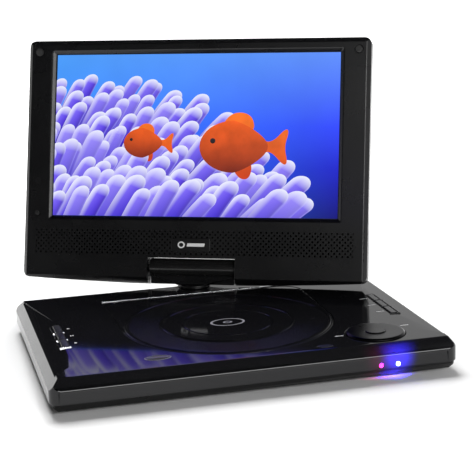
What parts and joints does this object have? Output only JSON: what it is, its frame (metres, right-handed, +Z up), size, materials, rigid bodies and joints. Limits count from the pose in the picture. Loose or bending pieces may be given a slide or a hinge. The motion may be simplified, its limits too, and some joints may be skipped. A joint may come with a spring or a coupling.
{
  "type": "portable dvd player",
  "caption": "Portable disc player: flat base with a top-loading disc bay, lid, keys and direction ring, and a wide screen on a swivel and tilt hinge.",
  "frame": {"origin": "centre of the label panel on the base's underside; the screen is in its pictured pose, turned 26.3 degrees and leaning back 15.4 degrees", "axes": "+X to the player's right, +Y to its back, +Z up"},
  "size_m": [0.2484, 0.2671, 0.1879],
  "materials": {
    "deck_black": "high gloss",
    "casing_black": "satin gloss",
    "lower_black": "fine grained",
    "bezel_black": "satin",
    "lid_black": "high gloss",
    "rubber_black": "matte",
    "screw_steel": "zinc plated",
    "bright_trim": "polished",
    "spun_metal": "spun, dark anodised",
    "key_black": "satin",
    "label_silver": "plain badge",
    "circuit_board": "solder mask",
    "chip_black": "moulded epoxy",
    "cell_wrap": "shrink wrap",
    "pressed_steel": "pressed sheet",
    "drive_plastic": "glass-filled",
    "brass": "machined",
    "picture": "lit display",
    "lens_glass": "clear",
    "lamp_blue": "lit",
    "lamp_red": "lit",
    "jack_black": "moulded"
  },
  "bodies": {
    "base": {"upper_casing": "deck_black", "lower_casing": "lower_black", "battery_cover": "lower_black", "rubber_feet": "rubber_black", "casing_screws": "screw_steel", "battery_cells": "cell_wrap", "main_board": "circuit_board", "board_chips": "chip_black", "headphone_jack": "jack_black", "av_jack": "jack_black", "dc_jack": "jack_black", "switch_boards": "circuit_board", "dome_switches": "screw_steel", "power_lamp": "lamp_blue", "charge_lamp": "lamp_red", "hinge_trim": "bright_trim", "drive_chassis": "pressed_steel", "chassis_dampers": "rubber_black", "chassis_screws": "screw_steel", "guide_rods": "bright_trim", "sled_motor": "pressed_steel", "spindle_stator": "brass", "lid_hinge_pins": "screw_steel", "lid_spring": "screw_steel", "swivel_bush": "brass"},
    "spindle": {"spindle_rotor": "pressed_steel", "disc_turntable": "drive_plastic", "disc_clips": "bright_trim"},
    "sled": {"optical_sled": "drive_plastic", "objective_lens": "lens_glass"},
    "screw": {"lead_screw": "bright_trim"},
    "lid": {"disc_lid": "lid_black"},
    "open_button": {"open_button": "key_black"},
    "latch": {"latch_slider": "drive_plastic"},
    "direction_ring": {"direction_ring": "spun_metal"},
    "ok_button": {"ok_button": "spun_metal"},
    "power_switch": {"power_switch": "key_black"},
    "swivel": {"swivel_column": "casing_black", "swivel_nut": "screw_steel", "hinge_cover": "bright_trim"},
    "screen": {"screen_bezel": "bezel_black", "screen_back": "bezel_black", "lcd_panel": "picture", "screen_board": "circuit_board", "speakers": "drive_plastic", "plain_badge": "label_silver", "screen_bumpers": "rubber_black", "sensor_window": "jack_black", "tilt_pins": "screw_steel", "hinge_brackets": "pressed_steel", "screen_screws": "screw_steel"},
    "key_left_rear": {"key_left_rear": "key_black"},
    "key_left_middle": {"key_left_middle": "key_black"},
    "key_left_front": {"key_left_front": "key_black"},
    "key_right_rear": {"key_right_rear": "key_black"},
    "key_right_middle": {"key_right_middle": "key_black"},
    "key_right_front": {"key_right_front": "key_black"}
  },
  "joints": [
    {"name": "screen_swivel", "type": "hinge", "parent": "base", "child": "swivel", "pos_m": [0, 0.0804, 0.0204], "axis": [0, 0, 1], "range_deg": [-153.7, 26.3]},
    {"name": "screen_tilt", "type": "hinge", "parent": "swivel", "child": "screen", "pos_m": [0, 0.0804, 0.033], "axis": [-0.8965, 0.4431, 0], "range_deg": [-105.4, 74.6]},
    {"name": "lid_hinge", "type": "hinge", "parent": "base", "child": "lid", "pos_m": [0, 0.044, 0.0154], "axis": [-1, 0, 0], "range_deg": [0, 28]},
    {"name": "spindle_spin", "type": "hinge", "parent": "base", "child": "spindle", "pos_m": [0, -0.013, 0.0125], "axis": [0, 0, 1], "continuous": true},
    {"name": "sled_slide", "type": "slide", "parent": "base", "child": "sled", "axis": [1, 0, 0], "range_m": [0, 0.032]},
    {"name": "screw_turn", "type": "hinge", "parent": "base", "child": "screw", "pos_m": [0.05, 0.0132, 0.0068], "axis": [1, 0, 0], "range_deg": [0, 3850]},
    {"name": "open_press", "type": "slide", "parent": "base", "child": "open_button", "axis": [0, 0, -1], "range_m": [0, 0.0012], "stiffness_N_per_m": 400, "springref_m": -0.0005},
    {"name": "latch_pull", "type": "slide", "parent": "base", "child": "latch", "axis": [0, -1, 0], "range_m": [0, 0.0012]},
    {"name": "ring_rock", "type": "hinge", "parent": "base", "child": "direction_ring", "pos_m": [0.0783, -0.0668, 0.02], "axis": [1, 0, 0], "range_deg": [-1.5, 1.5], "stiffness_Nm_per_rad": 0.3},
    {"name": "ok_press", "type": "slide", "parent": "base", "child": "ok_button", "axis": [0, 0, -1], "range_m": [0, 0.0005], "stiffness_N_per_m": 400, "springref_m": -0.0005},
    {"name": "power_slide", "type": "slide", "parent": "base", "child": "power_switch", "axis": [0, 1, 0], "range_m": [0, 0.004]},
    {"name": "key_left_rear_press", "type": "slide", "parent": "base", "child": "key_left_rear", "axis": [0, 0, -1], "range_m": [0, 0.0005], "stiffness_N_per_m": 400, "springref_m": -0.0005},
    {"name": "key_left_middle_press", "type": "slide", "parent": "base", "child": "key_left_middle", "axis": [0, 0, -1], "range_m": [0, 0.0005], "stiffness_N_per_m": 400, "springref_m": -0.0005},
    {"name": "key_left_front_press", "type": "slide", "parent": "base", "child": "key_left_front", "axis": [0, 0, -1], "range_m": [0, 0.0005], "stiffness_N_per_m": 400, "springref_m": -0.0005},
    {"name": "key_right_rear_press", "type": "slide", "parent": "base", "child": "key_right_rear", "axis": [0, 0, -1], "range_m": [0, 0.0005], "stiffness_N_per_m": 400, "springref_m": -0.0005},
    {"name": "key_right_middle_press", "type": "slide", "parent": "base", "child": "key_right_middle", "axis": [0, 0, -1], "range_m": [0, 0.0005], "stiffness_N_per_m": 400, "springref_m": -0.0005},
    {"name": "key_right_front_press", "type": "slide", "parent": "base", "child": "key_right_front", "axis": [0, 0, -1], "range_m": [0, 0.0005], "stiffness_N_per_m": 400, "springref_m": -0.0005}
  ],
  "couplings": [
    {"joint": "screw_turn", "follows": "sled_slide", "rad_per_m": 2094.4},
    {"joint": "latch_pull", "follows": "open_press", "ratio": 1}
  ]
}
